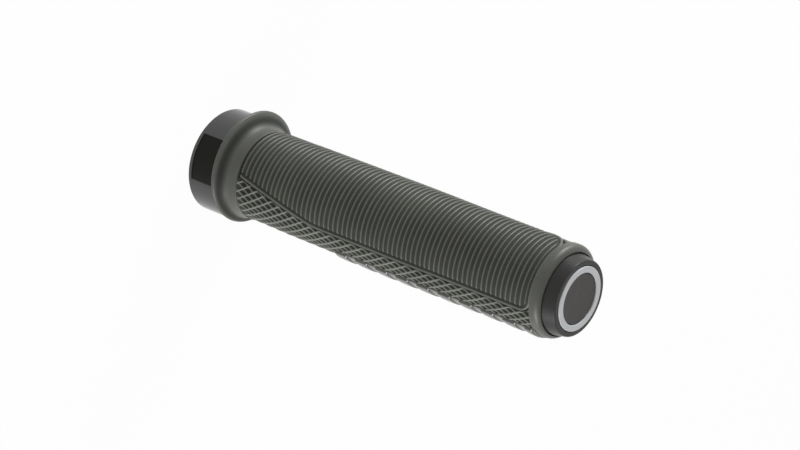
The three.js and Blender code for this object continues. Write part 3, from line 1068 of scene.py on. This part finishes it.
def makeClampScrew():
    s = clampScrew
    start, top = s["seat"] - s["length"], s["seat"] + s["headHeight"]
    threadEnd, tip, step = s["seat"] - s["threadGap"], s["tipLength"], s["threadStep"]
    rows = int((threadEnd - start - tip) / step)
    narrow, wide = (s["radius"] * share for share in s["tipShares"])
    outline = [(0, start), (narrow, start), (wide, start + tip / 2)]
    outline += [(s["radius"], start + tip + i * step) for i in range(rows + 1)]
    outline += [(s["radius"], threadEnd + tip / 2), (s["radius"], s["seat"])]
    head = rounded([(s["radius"], s["seat"], 0), (s["headRadius"], s["seat"], s["seatEdge"]),
                    (s["headRadius"], top, s["edge"]), (0, top, 0)])[1:]
    straight = [(s["headRadius"], s["seat"] + s["knurlFrom"]), (s["headRadius"], top - s["knurlTo"])]
    split = next(i for i, p in enumerate(head) if p[1] > s["seat"] + 1)
    outline += head[:split] + straight + head[split:]

    def shape(radius, height, turn, station):
        if radius == s["radius"] and start + s["threadFrom"] < height < threadEnd:
            phase = (height / s["threadPitch"] + turn / 360) % 1
            return radius - s["threadDepth"] * (1 - abs(2 * phase - 1))
        if (radius, height) in straight:
            return radius - s["knurlDepth"] * (0.5 - 0.5 * math.cos(math.radians(turn * s["knurls"])))
        return radius

    screw = turnedPiece("clampScrew", outline, evenTurns(144), shape)
    cutAway(screw, [straightRod("socketCutter", s["socketWidth"] / math.sqrt(3),
                                top - s["socketDepth"], top + 1, 6)])
    toMetres = Vector(s["place"]) * millimetre
    placeMesh(screw, Matrix.Translation(toMetres) @ Matrix.Rotation(-math.pi / 2, 4, "X"))
    smoothPiece(screw, 40)
    return screw


seat(makeClampScrew(), "clamp_screw", "screw_steel", material["screwSteel"])


coreTube = {
    "inner": 11.25,
    "outer": 12.25,
    "bottom": 8.0,
    "tabTop": 10.5,
    "top": 134.8,
    "middle": 60.0,  # one more ring of points keeps the faces short
    "tabs": 3,
    "tabWidth": 26.0,
    "edge": 0.18,
    "segments": 192,
}


def makeCoreTube():
    s = coreTube
    edge = s["edge"]
    corners = [(s["inner"], s["bottom"], edge), (s["outer"], s["bottom"], edge),
               (s["outer"], s["middle"], 0), (s["outer"], s["top"], edge),
               (s["inner"], s["top"], edge), (s["inner"], s["middle"], 0)]
    tube = turnedPiece("coreTube", rounded(corners, 4), evenTurns(s["segments"]))
    between = 360 / s["tabs"]
    half = s["tabWidth"] / 2
    cutAway(tube, [arcBlock("gapCutter", s["inner"] - 1, s["outer"] + 1, i * between + half,
                            (i + 1) * between - half, s["bottom"] - 1, s["tabTop"], 32)
                   for i in range(s["tabs"])])
    smoothPiece(tube, 32)
    return tube


seat(makeCoreTube(), "core_tube", "core_nylon", material["coreNylon"])


endCap = {
    "spigot": 10.95,
    "hollow": 9.2,
    "hollowTop": 137.42,
    "foot": 127.0,
    "shoulder": 135.1,
    "base": 12.35,
    "band": 0.4,
    "rim": 11.53,
    "rimDrop": 0.28,
    "face": 139.72,
    "faceRadius": 11.28,
    "centreRadius": 7.65,
    "grooveOuter": 10.01,
    "grooveFloor": 138.95,
    "centreDish": 0.05,
    "dishEdge": 1.2,
    "centreDepth": 0.2,  # what lies above this, inside the ring, has the centre's finish
    "skin": 0.01,
    "segments": 256,
}


def makeEndCap():
    s = endCap
    shoulder, face, centre = s["shoulder"], s["face"], s["centreRadius"]
    corners = [
        (0, s["hollowTop"], 0), (s["hollow"], s["hollowTop"], 0.5), (s["hollow"], s["foot"], 0.2),
        (s["spigot"], s["foot"], 0.3), (s["spigot"], shoulder, 0), (s["base"], shoulder, 0.08),
        (s["base"], shoulder + s["band"], 0.12), (s["rim"], face - s["rimDrop"], 0.22),
        (s["faceRadius"], face, 0.16), (s["grooveOuter"], face, 0.07),
        (s["grooveOuter"], s["grooveFloor"], 0), (centre, s["grooveFloor"], 0), (centre, face, 0.1),
        (centre - s["dishEdge"], face - s["centreDish"], 0), (0, face - s["centreDish"], 0),
    ]
    cap = turnedPiece("endCap", rounded(corners, 4), evenTurns(s["segments"]))
    smoothPiece(cap, 32)
    cap.data.materials.append(material["capPlastic"])
    cap.data.materials.append(material["capCentre"])
    for side in cap.data.polygons:
        points = [cap.data.vertices[i].co / millimetre for i in side.vertices]
        inside = all(math.hypot(p.x, p.y) < centre + s["skin"] for p in points)
        side.material_index = int(inside and all(p.z > face - s["centreDepth"] for p in points))
    return cap


seat(makeEndCap(), "end_cap", "cap_plastic")


capRing = {
    "outer": 9.76,
    "inner": 7.9,
    "bottom": 139.2,
    "top": 140.0,
    "edge": 0.1,
    "segments": 256,
}


def makeCapRing():
    s = capRing
    corners = [(s["inner"], s["bottom"], 0.05), (s["outer"], s["bottom"], 0.05),
               (s["outer"], s["top"], s["edge"]), (s["inner"], s["top"], s["edge"])]
    ring = turnedPiece("capRing", rounded(corners), evenTurns(s["segments"]))
    smoothPiece(ring)
    return ring


seat(makeCapRing(), "cap_ring", "ring_inlay", material["ringInlay"])


# Floor, backdrop and light.
studio = {
    "floorRadius": 6.0,
    "floorWhite": (0.92, 0.92, 0.92, 1.0),
    "backdropShare": 0.97,  # how much of the floor's look is the white backdrop
    "worldLight": 0.38,
    "keyPower": 6.2,
    "keyPlace": (-0.05, -0.85, 0.24),
    "keySize": 0.36,
    "fillPower": 4.6,
    "fillPlace": (0.16, 0.86, 0.22),
    "fillSize": 0.36,
    "aim": (0.0, 0.0, 0.07),
}


def seenRays(tree):
    # 1 for rays that show the backdrop: to the camera, in reflections and through clear pieces.
    path = tree.nodes.new("ShaderNodeLightPath")
    seen = Field(tree, path.outputs["Is Camera Ray"]) + Field(tree, path.outputs["Is Glossy Ray"])
    return lesser(seen + Field(tree, path.outputs["Is Transmission Ray"]), 1)


def makeFloor():
    s = studio
    work = bmesh.new()
    bmesh.ops.create_circle(work, cap_ends=True, radius=s["floorRadius"], segments=96)
    mesh = bpy.data.meshes.new("floor")
    work.to_mesh(mesh)
    work.free()
    floor = addPiece("floor", mesh)
    finish = bpy.data.materials.new("paleFloor")
    finish.use_nodes = True
    tree = finish.node_tree
    tree.nodes.remove(tree.nodes["Principled BSDF"])
    matt = addNode(tree, "ShaderNodeBsdfDiffuse", {"Color": s["floorWhite"]})
    white = addNode(tree, "ShaderNodeEmission", {"Strength": 1.0})
    mix = addNode(tree, "ShaderNodeMixShader", {"Fac": seenRays(tree) * s["backdropShare"]})
    tree.links.new(matt.outputs[0], mix.inputs[1])
    tree.links.new(white.outputs[0], mix.inputs[2])
    tree.links.new(mix.outputs[0], tree.nodes["Material Output"].inputs["Surface"])
    mesh.materials.append(finish)


def makeWorld():
    world = bpy.data.worlds.new("studio")
    bpy.context.scene.world = world
    world.use_nodes = True
    tree = world.node_tree
    light = tree.nodes["Background"]
    light.inputs["Color"].default_value = (1.0, 1.0, 1.0, 1.0)
    light.inputs["Strength"].default_value = studio["worldLight"]
    white = addNode(tree, "ShaderNodeBackground", {"Color": (1.0, 1.0, 1.0, 1.0), "Strength": 1.0})
    mix = addNode(tree, "ShaderNodeMixShader", {"Fac": seenRays(tree)})
    tree.links.new(light.outputs[0], mix.inputs[1])
    tree.links.new(white.outputs[0], mix.inputs[2])
    tree.links.new(mix.outputs[0], tree.nodes["World Output"].inputs["Surface"])


def makeLamp(name, power, place, size):
    lamp = bpy.data.lights.new(name, "AREA")
    lamp.energy = power
    lamp.size = size
    holder = addPiece(name, lamp)
    holder.location = place
    aim = Vector(studio["aim"]) - Vector(place)
    holder.rotation_euler = aim.to_track_quat("-Z", "Y").to_euler()


makeFloor()
makeWorld()
makeLamp("key", studio["keyPower"], studio["keyPlace"], studio["keySize"])
makeLamp("fill", studio["fillPower"], studio["fillPlace"], studio["fillSize"])
print("studio")


view = {
    "lens": 108.0,
    "sensor": 36.0,
    "clipStart": 0.01,
    "place": (0.5858, 0.0, 0.4887),
    "aim": (0.0, -0.0009, 0.0723),
    "roll": 111.44,
}


def makeCamera():
    camera = bpy.data.cameras.new("camera")
    camera.lens = view["lens"]
    camera.sensor_width = view["sensor"]
    camera.clip_start = view["clipStart"]
    holder = addPiece("camera", camera)
    aim = Vector(view["aim"]) - Vector(view["place"])
    level = aim.to_track_quat("-Z", "Y").to_matrix().to_4x4()
    roll = Matrix.Rotation(math.radians(view["roll"]), 4, "Z")
    holder.matrix_world = Matrix.Translation(view["place"]) @ level @ roll
    bpy.context.scene.camera = holder


makeCamera()
bpy.context.scene.view_settings.view_transform = "Standard"
